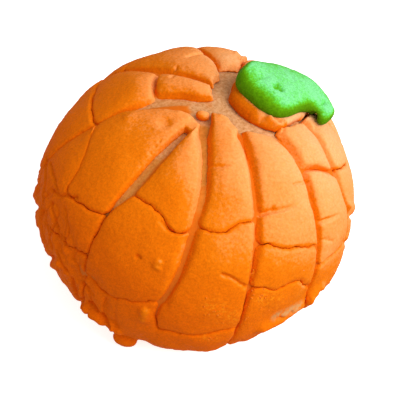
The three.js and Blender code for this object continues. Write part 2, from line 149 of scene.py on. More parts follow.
# Marks that show in the picture: where each runs, its half width and its depth, less than nothing where
# it stands up, and the half widths at which a mark ends
MARK_REACH = 3
PASTE_MARKS = [
    ([(51, 190), (58, 195), (66, 196), (76, 199)], 0.55 * MM, 1.1 * MM),
    ([(222, 276), (232, 279), (242, 285), (250, 290)], 0.55 * MM, 0.9 * MM),
    ([(294, 184), (300, 183), (306, 183)], 0.5 * MM, 0.7 * MM),
    ([(177, 67), (175, 73), (172, 77)], 0.6 * MM, 0.8 * MM),
    ([(319, 242), (326, 240), (334, 241)], 0.6 * MM, 0.4 * MM),
    ([(46, 160), (46, 182), (43, 196), (47, 214)], 0.6 * MM, 1.2 * MM),
    ([(50, 163), (54, 178), (58, 192)], 0.55 * MM, 1.0 * MM),
    ([(51, 204), (53, 220), (57, 234), (65, 242)], 0.6 * MM, 1.2 * MM),
    ([(44, 218), (48, 232), (53, 247)], 0.6 * MM, 1.2 * MM),
    ([(64, 210), (67, 228), (64, 246)], 0.55 * MM, 0.8 * MM),
    ([(58, 226), (60, 240)], 1.3 * MM, -0.6 * MM),
    ([(161, 222), (166, 229), (172, 234)], 0.5 * MM, 0.9 * MM),
    ([(58, 251), (62, 262), (67, 270)], 0.6 * MM, 1.2 * MM),
    ([(72, 258), (78, 270), (84, 283), (92, 294)], 0.7 * MM, 0.7 * MM),
    ([(75, 290), (80, 297), (85, 303)], 0.7 * MM, 1.3 * MM),
    (FLAP_FOLD, 0.7 * MM, 2.2 * MM),
    ([(155, 266), (159, 269)], 0.8 * MM, -0.5 * MM),
    ([(60, 262), (66, 272)], 1.0 * MM, -0.8 * MM),
    ([(64, 250), (68, 262)], 1.0 * MM, -0.6 * MM),
    ([(70, 276), (82, 292)], 1.2 * MM, -0.7 * MM),
    ([(136, 257), (139, 258)], 0.45 * MM, 0.9 * MM),
    ([(143, 319)], 1.6 * MM, -0.8 * MM),
    ([(187, 242), (181, 258), (175, 276), (164, 301)], 1.4 * MM, 0.8 * MM),
    ([(258, 207), (265, 205), (272, 204)], 0.8 * MM, 0.9 * MM),
    ([(212, 116)], 1.4 * MM, -1.1 * MM),
    ([(221, 117)], 1.5 * MM, -0.9 * MM),
    ([(349, 206)], 1.6 * MM, -0.9 * MM),
    ([(320, 288), (306, 300), (290, 312), (279, 320), (263, 328)], 2.2 * MM, -1.7 * MM),
    ([(84, 303), (92, 311), (102, 319), (117, 329)], 2.2 * MM, -2.2 * MM),
    ([(276, 319), (284, 316), (290, 311)], 0.5 * MM, 1.0 * MM),
    ([(165, 122)], 2.4 * MM, 0.9 * MM),
    ([(127, 117)], 2.2 * MM, -0.5 * MM),
    ([(181, 113), (188, 117)], 2.2 * MM, -0.6 * MM),
    ([(316, 128)], 1.6 * MM, 0.8 * MM),
    ([(267, 121), (272, 126), (277, 131)], 1.1 * MM, -2.0 * MM),
    ([(261, 121), (266, 126), (271, 131)], 0.8 * MM, 0.8 * MM),
    ([(274, 120), (279, 125), (283, 129)], 0.8 * MM, 0.8 * MM),
    ([(160, 140)], 0.5 * MM, 0.5 * MM),
    ([(156, 146)], 0.5 * MM, 0.5 * MM),
    ([(150, 153)], 0.5 * MM, 0.5 * MM),
]

# Notches and flakes on the outline that the picture shows: the place, its half width in pixels and its depth
OUTLINE_MARKS = [
    ((51, 258), 2.5, 2.2 * MM),
    ((46, 249), 4, -0.6 * MM),
    ((52, 266), 4, -0.8 * MM),
    ((36, 207), 3, 1.0 * MM),
    ((32, 195), 5, -0.8 * MM),
    ((353, 217), 2.5, 1.2 * MM),
    ((354, 208), 5, -0.7 * MM),
    ((346, 243), 3, 0.8 * MM),
    ((331, 285), 2.5, -1.2 * MM),
    ((322, 293), 3, 0.6 * MM),
    ((311, 302), 5, -0.8 * MM),
    ((80, 304), 3, 1.0 * MM),
    ((236, 53), 2, -0.5 * MM),
    ((240, 57), 1.8, 1.6 * MM),
    ((246, 58), 2.2, -0.7 * MM),
]

# Ends of pieces, and a crack in one, that the picture shows further along: the node, the place, its half
# width in pixels, and how far the piece is drawn to the right and up in the picture
DRAWN_OUT = [
    ("rib_04_plate_1", (236, 128), 7, 2.2 * MM, 0.9 * MM),
    ("rib_04_plate_1", (227, 120), 5, 0.8 * MM, 0.9 * MM),
    ("rib_04_plate_1", (213, 117), 5, -0.5 * MM, 1.2 * MM),
    ("rib_05_plate_1", (262, 207), 12, 0, -2.4 * MM),
    ("rib_05_plate_1", (280, 205), 10, 0, -1.0 * MM),
    ("hub_crumb", (204, 113), 40, 0, -1.1 * MM),
    ("leaf", (311, 117), 5, 1.5 * MM, 0.5 * MM),
]

# Where the picture shows cracks lying further along the coat than the solids put them: the place, its half
# width in pixels, and how far the coat slides to the right and up
SLIDES = [
    ((78, 188), 14, -4.4 * MM, -1.0 * MM),
    ((290, 246), 13, 0, -1.2 * MM),
    ((280, 284), 13, 0, -2.2 * MM),
    ((222, 227), 16, 0, -1.7 * MM),
    ((176, 226), 13, 0, -1.8 * MM),
]

# Marks on the leaf, in the same way as those on the paste
LEAF_MARKS = [
    ([(275, 86), (281, 89)], 0.9 * MM, 1.5 * MM),
    ([(324, 102)], 0.8 * MM, 1.2 * MM),
    ([(262, 76)], 1.6 * MM, 0.5 * MM),
]

# Where the picture shows bare dough, with how far it spreads, how bare it is and how much paste stains it,
# and the shares of that spread between which it fades out
BARE_EDGE = (0.7, 1.3)
BARE_DOUGH = [
    ([(212, 86), (225, 95), (230, 112), (262, 126)], 8 * MM, 1.0, 0.0),
    ([(198, 108), (212, 118)], 4 * MM, 1.0, 0.1),
    ([(222, 82), (229, 74), (236, 71)], 5 * MM, 1.0, 0.0),
    ([(205, 104), (180, 103), (150, 106), (128, 112)], 3 * MM, 0.9, 0.3),
    ([(188, 132), (172, 142), (160, 154)], 3 * MM, 1.0, 0.3),
    ([(156, 158), (125, 195), (108, 212)], 3 * MM, 1.0, 0.8),
    ([(205, 126), (206, 150), (203, 180)], 3 * MM, 0.9, 0.9),
    ([(203, 180), (199, 205)], 3 * MM, 0.4, 0.9),
    ([(238, 126), (243, 130)], 4 * MM, 1.0, 0.2),
    ([(284, 128), (296, 122), (308, 117)], 3 * MM, 1.0, 0.1),
]

# Where the coat is worn through to a tan crumb; where it is paler than the rest or, less than nothing,
# deeper, which in the fold under the flap and on the wall of the leaf's seat is painted shade; where shade is
# painted on walls in shadow; and where it is sandy, each with how far that spreads
WORN_PATCH = ([(276, 316), (287, 311), (298, 304)], 2.8 * MM)
PALER_AND_PAINTED_SHADE = [
    ([(183, 247), (176, 265), (168, 283), (161, 297)], 1.5 * MM, 0.12),
    ([(159, 263), (157, 268)], 1.7 * MM, 0.28),
    ([(145, 312), (142, 319)], 2.2 * MM, 0.42),
    # Painted shade in the fold under the flap
    (FLAP_FOLD, 1.2 * MM, -0.3),
    ([(346, 185)], 10 * MM, -0.06),
    ([(125, 95)], 12 * MM, -0.05),
    ([(226, 145)], 9 * MM, -0.04),
    ([(298, 296), (304, 284)], 5 * MM, 0.12),
    ([(330, 252)], 10 * MM, 0.12),
    ([(222, 58)], 9 * MM, 0.14),
    ([(230, 202)], 9 * MM, -0.05),
    ([(222, 258)], 10 * MM, 0.08),
    ([(172, 195)], 10 * MM, -0.08),
    ([(132, 145)], 12 * MM, -0.06),
    # Painted shade on the wall of the leaf's seat, under the leaf
    (SEAT_WALL, 4 * MM, -0.4),
    ([(282, 190)], 9 * MM, -0.06),
    ([(288, 121), (300, 117), (312, 113)], 2.5 * MM, 0.3),
]
PAINTED_SHADE_LINES = [
    (SEAT_WALL, 5 * MM, 0.24),
    ([(256, 160), (258, 200)], 2 * MM, 0.12),
    ([(271, 303)], 6 * MM, 0.08),
]
SANDY = [
    ([(262, 296), (280, 302)], 5 * MM),
    ([(213, 308), (232, 318)], 6 * MM),
    ([(250, 262), (251, 284)], 2 * MM),
    ([(206, 338), (216, 340)], 2.5 * MM),
]

# The leaf: what it regains of the size that smoothing takes, how far it settles, the side of it on which
# light is painted, how squarely it faces that way where the paint is darkest and lightest, how much shade is
# painted into a pit, the shade painted along its near edge with how far that spreads and how much it darkens,
# and where in the picture it is lifted, over how many pixels and how far
LEAF_SWELL = 0.95 * MM
LEAF_SETTLE = 0.7 * MM
LEAF_PAINTED_LIGHT_SIDE = np.array((0.35, -0.06, 0.93))
LEAF_PAINTED_LIGHT_SPAN = (0.5, 0.96)
LEAF_PIT_SHADE = 0.36
LEAF_EDGE = ([(241, 80), (247, 92), (258, 102), (267, 107)], 5.6 * MM)
LEAF_EDGE_SHADE = 0.45
LEAF_LIFTS = [
    ((311, 121), 7, 1.8 * MM),
    ((252, 66), 9, 1.0 * MM),
]

# Crumbs: the middle of each drift in the picture, its half width and half height, and how many lie there,
# then their sizes, the share by which they stand off the coat, how uneven they are, how closely a drift
# gathers and how pale they are
CRUMB_DRIFTS = [
    ((251, 272), (2, 16), 10),
    ((262, 296), (14, 10), 16),
    ((218, 312), (14, 16), 14),
    ((246, 322), (8, 8), 6),
    ((211, 339), (6, 2), 6),
]
CRUMB_SIZES = (0.14 * MM, 0.36 * MM)
CRUMB_STAND = 0.1
CRUMB_JITTER = 0.04 * MM
DRIFT_GATHER = 0.5
CRUMB_PALENESS = 0.6

# The side of the coat on which light and sheen are painted, how squarely the coat faces it where the paint is
# deepest and where it is palest, the share of that which follows the surface's own slope so that walls are
# painted lit or shaded, and how much shade is painted on a crack's edge
PAINTED_LIGHT_SIDE = np.array((0.70, 0.15, 0.70))
PAINTED_LIGHT_SPAN = (-0.21, 1.05)
PAINTED_LIGHT_BY_SLOPE = 0.45
CRACK_PAINTED_SHADE = 0.2

# The paste's linear colour, from its deepest, where the most shade is painted, to its palest, where the most
# light and sheen are painted
PASTE_COLOURS = [
    (0.0, (0.86, 0.135, 0.001)),
    (0.5, (0.83, 0.175, 0.002)),
    (0.58, (0.84, 0.193, 0.004)),
    (0.66, (0.9, 0.25, 0.04)),
    (0.74, (0.93, 0.3, 0.068)),
    (0.87, (0.93, 0.37, 0.12)),
    (1.0, (0.93, 0.44, 0.195)),
]

# The leaf's linear colour, from the shade painted at its edge to the light painted on its top
LEAF_COLOURS = [
    (0.0, (0.09, 0.26, 0.001)),
    (0.35, (0.108, 0.36, 0.002)),
    (0.6, (0.114, 0.53, 0.03)),
    (0.82, (0.16, 0.69, 0.16)),
    (1.0, (0.21, 0.73, 0.27)),
]

# Screen colours, 0 to 255, in pairs where a grain runs between two
SAND_COLOUR = (255, 152, 24)
WORN_COLOURS = ((190, 128, 68), (222, 166, 108))
CRUMB_COLOURS = ((192, 128, 72), (224, 170, 120))
SPECK_COLOUR = (166, 94, 44)
STAINED_COLOURS = ((198, 118, 32), (218, 142, 48))
HIDDEN_COLOURS = ((212, 98, 10), (226, 114, 16))
CRUST_COLOURS = ((190, 118, 50), (212, 146, 76))
FLOOR_COLOURS = ((244, 244, 244), (248, 248, 248))

# Grain in the finishes: its layers, as a detail and a roughness, and the span of it that mostly counts
PLAIN = (2, 0.5)
FINE = (3, 0.7)
FINER = (4, 0.7)
GRAIN_SPAN = (0.3, 0.7)

# The paste's finish: its roughness and sheen, then each grain's size, its own layers and span if it has them,
# and the range that it gives, and the size and depth of the bumps
PASTE_SURFACE = (0.75, 0.015)
TOASTING_SIZE = 0.9 * MM
TOASTING_RANGE = (-0.045, 0.045)
PASTE_SHADE_SIZE = 0.7 * MM
PASTE_SHADE_RANGE = (0.88, 1.08)
SAND_SIZE = 1.1 * MM
SAND_LAYERS = (2, 0.6)
SAND_SPAN = (0.5, 0.66)
SAND_RANGE = (0, 0.55)
WORN_SIZE = 1.2 * MM
PATCH_SIZE = 1.8 * MM
PATCH_SPAN = (0.34, 0.56)
PASTE_BUMP_SIZE = 0.45 * MM
PASTE_BUMP_DEPTH = 0.2 * MM

# The dough's finish, in the same way
DOUGH_SURFACE = (0.8, 0.1)
DOUGH_PATCH_SIZE = 1.1 * MM
SPECK_SIZE = 0.8 * MM
SPECK_SPAN = (0.56, 0.7)
SPECK_RANGE = (0, 0.35)
HIDDEN_SIZE = 2 * MM
CRUST_SIZE = 5 * MM
CRUST_LAYERS = (4, 0.5)
DOUGH_BUMP_SIZE = 0.6 * MM
DOUGH_BUMP_DEPTH = 0.18 * MM

# The leaf's finish, in the same way
LEAF_SURFACE = (0.7, 0.03)
SPECKLE_SIZE = 0.8 * MM
SPECKLE_RANGE = (-0.17, 0.13)
CLOUD_SIZE = 5 * MM
CLOUD_SPAN = (0.36, 0.64)
CLOUD_RANGE = (-0.1, 0.08)
LEAF_SHADE_SIZE = 0.6 * MM
LEAF_SHADE_RANGE = (0.78, 1.15)
LEAF_BUMP_SIZE = 0.5 * MM
LEAF_BUMP_DEPTH = 0.16 * MM

# The floor's finish, in the same way
FLOOR_SURFACE = (0.9, 0.0)
FLOOR_GRAIN_SIZE = 40 * MM
FLOOR_BUMP_SIZE = 2 * MM
FLOOR_BUMP_DEPTH = 0.01 * MM

# The side of the coat that baked rough, and how squarely it faces that way where roughness starts and is full
ROUGH_SIDE = np.array((-0.88, -0.38, -0.28))
ROUGH_SPAN = (0.64, 0.82)

LATTICE_SIDE = 64
draws = np.random.default_rng(SEED)
lattice = draws.uniform(-1, 1, (LATTICE_SIDE,) * 3)

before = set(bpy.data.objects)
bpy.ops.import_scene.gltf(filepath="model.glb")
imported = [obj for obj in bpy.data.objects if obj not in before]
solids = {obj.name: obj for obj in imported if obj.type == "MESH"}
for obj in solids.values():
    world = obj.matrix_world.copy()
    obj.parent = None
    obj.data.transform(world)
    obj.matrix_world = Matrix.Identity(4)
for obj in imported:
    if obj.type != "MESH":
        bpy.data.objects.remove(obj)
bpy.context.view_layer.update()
scene = bpy.context.scene


def eased(share):
    """A share from 0 to 1, eased at both ends."""
    return share * share * (3 - 2 * share)


def noise(points, size, shift=0.0):
    """Smooth noise from -1 to 1 with bumps of that size."""
    place = points / size + shift
    cell = np.floor(place).astype(int)
    part = eased(place - cell)
    total = np.zeros(len(points))
    for corner in np.ndindex(2, 2, 2):
        weight = np.where(corner, part, 1 - part).prod(axis=1)
        total += weight * lattice[tuple(((cell + corner) % LATTICE_SIDE).T)]
    return total


def layered(points, layers, shift=0.0):
    """A sum of noises, each with a bump's size and height."""
    return sum(height * noise(points, size, shift) for size, height in layers)


def fade(value, start, end):
    """A smooth step from 0 at start to 1 at end."""
    return eased(np.clip((value - start) / (end - start), 0, 1))


def outward(points):
    """Unit directions from the middle of the bun."""
    away = points - MIDDLE
    return away / np.linalg.norm(away, axis=1, keepdims=True)


def coat_normals(points):
    """The directions that the bun's even skin faces."""
    away = points - MIDDLE
    level = np.hypot(away[:, 0], away[:, 1])
    rise = np.where(away[:, 2] > 0, DOME_RISE, UNDER_DEPTH)
    sideways = level ** (ROUNDNESS - 2) / DOUGH_RADIUS ** ROUNDNESS
    upright = np.abs(away[:, 2]) ** (ROUNDNESS - 2) / rise ** ROUNDNESS
    facing = away * np.stack([sideways, sideways, upright], axis=1)
    return facing / np.linalg.norm(facing, axis=1, keepdims=True)


def level_with(shift, facing):
    """The part of a shift that runs along a surface which faces that way."""
    return shift - (shift * facing).sum(axis=1, keepdims=True) * facing


def wander(points, layers):
    """Shifts along the coat, the same for all plates, so that the edges of neighbours wander together."""
    shift = np.stack([layered(points, layers, WANDER_SHIFT * axis) for axis in range(1, 4)], axis=1)
    return level_with(shift, outward(points))


def mesh_points(mesh):
    """The places of a mesh's vertices."""
    flat = np.empty(len(mesh.vertices) * 3, np.float32)
    mesh.vertices.foreach_get("co", flat)
    return flat.reshape(-1, 3).astype(float)


def mesh_normals(mesh):
    """The directions that a mesh's vertices face."""
    flat = np.empty(len(mesh.vertices) * 3, np.float32)
    mesh.vertex_normals.foreach_get("vector", flat)
    return flat.reshape(-1, 3).astype(float)


def set_points(mesh, points):
    """Moves a mesh's vertices to those places."""
    mesh.vertices.foreach_set("co", points.astype(np.float32).ravel())
    mesh.update()


def set_values(mesh, name, values):
    """Stores one number for each vertex, for the material to read."""
    mesh.attributes.new(name, "FLOAT", "POINT").data.foreach_set("value", values.astype(np.float32))


def keep_edges(shape):
    """Keeps the sharp edges of a solid crisp while its facets are rounded."""
    crispness = shape.edges.layers.float.new("crease_edge")
    for edge in shape.edges:
        if edge.calc_face_angle(0) > SHARP_ANGLE:
            edge[crispness] = CRISPNESS


def refined(node, voxel, smoothing, crisp=False):
    """A piece with a fine, even mesh of a node's solid, its facets and edges rounded off."""
    mesh = solids[node].data.copy()
    shape = bmesh.new()
    shape.from_mesh(mesh)
    bmesh.ops.remove_doubles(shape, verts=shape.verts, dist=MERGE_GAP)
    bmesh.ops.join_triangles(
        shape,
        faces=shape.faces,
        angle_face_threshold=FACET_ANGLE,
        angle_shape_threshold=FACET_ANGLE,
    )
    if crisp:
        keep_edges(shape)
    shape.to_mesh(mesh)
    shape.free()
    piece = bpy.data.objects.new(f"{node}_piece", mesh)
    scene.collection.objects.link(piece)
    rounding = piece.modifiers.new("rounding", "SUBSURF")
    rounding.levels = ROUNDING_LEVELS
    evening = piece.modifiers.new("evening", "REMESH")
    evening.mode = "VOXEL"
    evening.voxel_size = voxel
    softening = piece.modifiers.new("softening", "SMOOTH")
    softening.factor = SMOOTH_FACTOR
    softening.iterations = smoothing
    graph = bpy.context.evaluated_depsgraph_get()
    piece.data = bpy.data.meshes.new_from_object(piece.evaluated_get(graph))
    piece.modifiers.clear()
    piece.data.shade_smooth()
    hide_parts(node)
    return piece


def search_tree(objects):
    """A search tree over the meshes of those objects."""
    points, faces = [], []
    for thing in objects:
        start = len(points)
        points.extend(vertex.co.copy() for vertex in thing.data.vertices)
        faces.extend([start + k for k in face.vertices] for face in thing.data.polygons)
    return BVHTree.FromPolygons(points, faces)


def camera_axes():
    """The camera's place and the directions that it calls right, up and forward."""
    cosine, sine = math.cos(CAMERA_ELEVATION), math.sin(CAMERA_ELEVATION)
    back = Vector((0, -cosine, sine))
    return CAMERA_AIM + CAMERA_DISTANCE * back, Vector((1, 0, 0)), Vector((0, sine, cosine)), -back


def seen(spot, tree):
    """The point of a search tree's surface that shows at a spot in the picture, and where it faces."""
    place, right, up, forward = camera_axes()
    spread = CAMERA_SENSOR / CAMERA_LENS / PICTURE_SIDE
    across = (spot[0] - PICTURE_SIDE / 2) * spread
    above = (PICTURE_SIDE / 2 - spot[1]) * spread
    hit, normal, _, _ = tree.ray_cast(place, (forward + across * right + above * up).normalized())
    return hit, normal


def seen_line(spots, tree):
    """Points along a line in the picture, carried to the surface about every pixel."""
    steps = []
    for (x, y), (next_x, next_y) in zip(spots, spots[1:]):
        count = max(1, round(math.hypot(next_x - x, next_y - y)))
        steps.extend((x + (next_x - x) * k / count, y + (next_y - y) * k / count) for k in range(count))
    hits = [seen(spot, tree)[0] for spot in [*steps, spots[-1]]]
    return np.array([hit for hit in hits if hit is not None])


def distance_over_coat(points, line, reach):
    """How far each point is from a line, measured over the coat, or reach where that is nearer."""
    spread, marks = COAT_REACH * outward(points), COAT_REACH * outward(line)
    found = np.full(len(points), reach)
    near = np.all((spread > marks.min(0) - reach) & (spread < marks.max(0) + reach), axis=1)
    for mark in marks:
        found[near] = np.minimum(found[near], np.linalg.norm(spread[near] - mark, axis=1))
    return found


def near_line(points, spots, reach, tree):
    """A value that fades from 1 on a line in the picture to 0 a reach away from it."""
    return 1 - fade(distance_over_coat(points, seen_line(spots, tree), reach), 0, reach)


def marked(points, marks, tree):
    """Points pressed in, or raised, along marks that show in the picture."""
    jagged = points + wander(points, MARK_WANDER)
    sink = np.zeros(len(points))
    for spots, half_width, depth in marks:
        start = jagged if depth > 0 else points
        reach = MARK_REACH * half_width
        away = distance_over_coat(start, seen_line(spots, tree), reach)
        sink += depth * np.exp(-((away / half_width) ** 2)) * (away < reach)
    return points - outward(points) * sink[:, None]


def near_spot(points, spot, half_width):
    """A value that fades from 1 for points that the picture shows at a spot, or behind it, to 0 around it."""
    place, right, up, forward = (np.array(axis) for axis in camera_axes())
    away = points - place
    scale = PICTURE_SIDE * CAMERA_LENS / CAMERA_SENSOR / (away @ forward)
    across = PICTURE_SIDE / 2 + scale * (away @ right) - spot[0]
    below = PICTURE_SIDE / 2 - scale * (away @ up) - spot[1]
    return np.exp(-(across ** 2 + below ** 2) / half_width ** 2)


def picture_shift(points, rows):
    """How far points move for rows of a place in the picture, its half width, and steps right and up."""
    _, right, up, _ = camera_axes()
    shift = np.zeros_like(points)
    for spot, half_width, aside, above in rows:
        shift += near_spot(points, spot, half_width)[:, None] * np.array(aside * right + above * up)
    return shift


def drawn_out(points, node):
    """Points of a node's piece, drawn along where the picture shows them further on."""
    return points + picture_shift(points, [row for drawn, *row in DRAWN_OUT if drawn == node])


def slid(points):
    """Points of the coat, slid over it where the picture shows its cracks further along."""
    return points + level_with(picture_shift(points, SLIDES), coat_normals(points))


def notched(points):
    """Points of the coat pressed in, or raised, where its outline in the picture is broken."""
    sink = sum(depth * near_spot(points, spot, half_width) for spot, half_width, depth in OUTLINE_MARKS)
    return points - outward(points) * sink[:, None]


def close_cracks(points, others, filled):
    """Moves a plate's walls out to its neighbours where a crack parts them, and tells how near each is."""
    gaps = CRACK_GAP - (CRACK_GAP + FILL_OVERLAP) * filled
    moved = points.copy()
    nearness = np.zeros(len(points))
    for k, point in enumerate(points):
        spot, _, _, gap = others.find_nearest(Vector(point), CRACK_REACH)
        if spot is not None and gap > CRACK_GAP:
            nearness[k] = 1 - fade(gap, CRACK_FULL, CRACK_REACH)
            moved[k] += (np.array(spot) - point) / gap * nearness[k] * (gap - gaps[k]) / 2
    return moved, nearness


def ragged_rim(points):
    """Points of the coat's lower edge, frayed up and down and in and out."""
    share = (1 - fade(points[:, 2], RIM_FOOT, RIM_TOP)) * (1 - near_spot(points, *CALM_DRIP))
    frayed = points + outward(points) * (share * layered(points, RIM_FRAY, FRAY_SHIFT))[:, None]
    frayed[:, 2] += share * layered(points * (1, 1, 0), RIM_WANDER, RIM_SHIFT)
    return frayed


def folds(points):
    """How deep narrow creases lie at each point, running mostly up and down."""
    stretched = points * FOLD_STRETCH
    return sum(depth * np.exp(-((noise(stretched, size, FOLD_SHIFT) / FOLD_WIDTH) ** 2))
               for size, depth in ROUGH_FOLDS)


def filling(points, tree):
    """The share by which the cracks that the picture shows faint are filled at each point."""
    shares = [share * near_line(points, spots, reach, tree) for spots, reach, share in FAINT_CRACKS]
    return np.max(shares, axis=0)


def lumpy(points, facing):
    """Points of a small lump of paste, swollen unevenly and leaning to the right."""
    swollen = points + facing * (LUMP_SWELL + layered(points, LUMPY, LUMPY_SHIFT))[:, None]
    return swollen + np.maximum(swollen[:, :1] - swollen[:, 0].mean(), 0) * LUMP_LEAN


def height_over(points, tree):
    """How far each point lies from a search tree's surface."""
    return np.array([tree.find_nearest(Vector(point))[3] for point in points])


def tone(mesh, nearness, tree):
    """Stores at each vertex how pale the paste is, as painted light and sheen towards the lamp, painted shade
    at crack edges and paler or deeper patches, and how worn, how shaded by paint and how sandy it is.
    """
    points = mesh_points(mesh)
    facing = (1 - PAINTED_LIGHT_BY_SLOPE) * coat_normals(points) + PAINTED_LIGHT_BY_SLOPE * mesh_normals(mesh)
    least, most = PAINTED_LIGHT_SPAN
    pale = (facing @ PAINTED_LIGHT_SIDE - least) / (most - least) - CRACK_PAINTED_SHADE * nearness
    for spots, reach, amount in PALER_AND_PAINTED_SHADE:
        pale += amount * near_line(points, spots, reach, tree)
    set_values(mesh, "pale", np.clip(pale, 0, 1))
    set_values(mesh, "worn", near_line(points, *WORN_PATCH, tree))
    painted_shade = [amount * near_line(points, spots, reach, tree) for spots, reach, amount in PAINTED_SHADE_LINES]
    set_values(mesh, "painted_shade", np.sum(painted_shade, axis=0))
    sandy = [near_line(points, spots, reach, tree) for spots, reach in SANDY]
    set_values(mesh, "sandy", np.max(sandy, axis=0))


def make_plate(node, neighbours, tree, dough):
    """A piece of paste, closed up on its cracks, lumpy, ragged at the rim and marked as in the picture."""
    soft = node in SOFT_NODES
    piece = refined(node, PASTE_VOXEL, SOFT_SMOOTHING if soft else PASTE_SMOOTHING, crisp=not soft)
    mesh = piece.data
    if soft:
        set_points(mesh, mesh_points(mesh) + SOFT_SWELL * mesh_normals(mesh))
    points = mesh_points(mesh)
    filled = filling(points, tree)
    points, nearness = close_cracks(points, search_tree(neighbours), filled)
    near = nearness > 0
    nearness[near] *= fade(height_over(points[near], dough), *CRACK_TOP)
    rise = FILL_RISE * filled * nearness
    nearness *= 1 - filled
    points += wander(points, PASTE_WANDER) + nearness[:, None] * wander(points, CRACK_WANDER)
    points = ragged_rim(points)
    roughness = fade(outward(points) @ ROUGH_SIDE, *ROUGH_SPAN) * fade(points[:, 2], RIM_FOOT, RIM_TOP)
    lift = layered(points, PASTE_LUMPS) - LIP_SINK * nearness + rise
    lift += roughness * (layered(points, ROUGH_LUMPS, ROUGH_SHIFT) - folds(points))
    points += outward(points) * lift[:, None]
    if node in LUMP_NODES:
        points = lumpy(points, mesh_normals(mesh))
    points = drawn_out(notched(marked(slid(points), PASTE_MARKS, tree)), node)
    set_points(mesh, points)
    points += mesh_normals(mesh) * layered(points, PASTE_GRAIN, GRAIN_SHIFT)[:, None]
    set_points(mesh, points)
    tone(mesh, nearness, tree)
    return piece


def make_dough(tree):
    """The bun, with where it is bare, stained by paste or crusty."""
    piece = refined("dough", DOUGH_VOXEL, DOUGH_SMOOTHING)
    mesh = piece.data
    points = mesh_points(mesh)
    bare, stained = np.zeros(len(points)), np.ones(len(points))
    for spots, spread, bareness, stain in BARE_DOUGH:
        full, gone = (part * spread for part in BARE_EDGE)
        share = 1 - fade(distance_over_coat(points, seen_line(spots, tree), gone), full, gone)
        bare = np.maximum(bare, bareness * share)
        stained = np.minimum(stained, 1 - (1 - stain) * share)
    lift = SEAT_LIFT + layered(points, DOUGH_LUMPS, DOUGH_LUMP_SHIFT)
    lift += layered(points, DOUGH_GRAIN, DOUGH_GRAIN_SHIFT)
    lift += HIDDEN_LIFT * (1 - bare) * fade(points[:, 2], RIM_FOOT, RIM_TOP)
    points += mesh_normals(mesh) * (lift * fade(points[:, 2], 0, BASE_HEIGHT))[:, None]
    points[:, 2] = np.maximum(points[:, 2], 0)
    set_points(mesh, points)
    set_values(mesh, "bare", bare)
    set_values(mesh, "stained", stained)
    set_values(mesh, "crust", 1 - fade(points[:, 2], *CRUST_SPAN))
    return piece


def make_leaf(tree):
    """The leaf, swollen, lifted at its tip and pitted, with light and shade painted on it."""
    piece = refined("leaf", LEAF_VOXEL, LEAF_SMOOTHING)
    mesh = piece.data
    points, facing = mesh_points(mesh), mesh_normals(mesh)
    swell = LEAF_SWELL + layered(points, LEAF_LUMPS, LEAF_SHIFT)
    points += swell[:, None] * facing - LEAF_SETTLE * outward(points)
    lift = sum(height * near_spot(points, spot, half_width) for spot, half_width, height in LEAF_LIFTS)
    points = drawn_out(points + lift[:, None] * np.array(camera_axes()[2]), "leaf")
    set_points(mesh, points)
    # Painted light on the faces turned to the lamp, painted shade along the near edge and in pits
    least, most = LEAF_PAINTED_LIGHT_SPAN
    light = np.clip((mesh_normals(mesh) @ LEAF_PAINTED_LIGHT_SIDE - least) / (most - least), 0, 1)
    light -= LEAF_EDGE_SHADE * near_line(points, *LEAF_EDGE, tree)
    pitted = marked(points, LEAF_MARKS, tree)
    depth = np.linalg.norm(pitted - points, axis=1)
    set_values(mesh, "light", np.clip(light - LEAF_PIT_SHADE * depth / MM, 0, 1))
    set_points(mesh, pitted + mesh_normals(mesh) * layered(points, LEAF_GRAIN, LEAF_SHIFT)[:, None])
    return piece


def make_crumbs(pieces):
    """Loose crumbs of paste, lying on the coat where the picture shows them."""
    tree = search_tree(pieces)
    shape = bmesh.new()
    for (x, y), (half_width, half_height), count in CRUMB_DRIFTS:
        for _ in range(count):
            aside, above = (DRIFT_GATHER * draws.normal(size=2)).tolist()
            spot, normal = seen((x + half_width * aside, y + half_height * above), tree)
            size = Vector(draws.uniform(*CRUMB_SIZES, 3))
            turn = Matrix.Rotation(draws.uniform(0, math.tau), 4, Vector(draws.normal(size=3)))
            if spot is None:
                continue
            place = Matrix.Translation(spot + normal * size.length * CRUMB_STAND)
            form = place @ turn @ Matrix.Diagonal((*size, 1))
            bmesh.ops.create_icosphere(shape, subdivisions=1, radius=1, matrix=form)
    for vertex in shape.verts:
        vertex.co += Vector(draws.normal(scale=CRUMB_JITTER, size=3))
    mesh = bpy.data.meshes.new("crumbs")
    shape.to_mesh(mesh)
    shape.free()
    mesh.shade_smooth()
    piece = bpy.data.objects.new("crumbs", mesh)
    scene.collection.objects.link(piece)
    return piece


def linear(colour):
    """A screen colour, 0 to 255, as the linear colour that a shader takes."""
    share = np.array(colour) / 255
    return (*np.where(share < 0.04045, share / 12.92, ((share + 0.055) / 1.055) ** 2.4), 1.0)


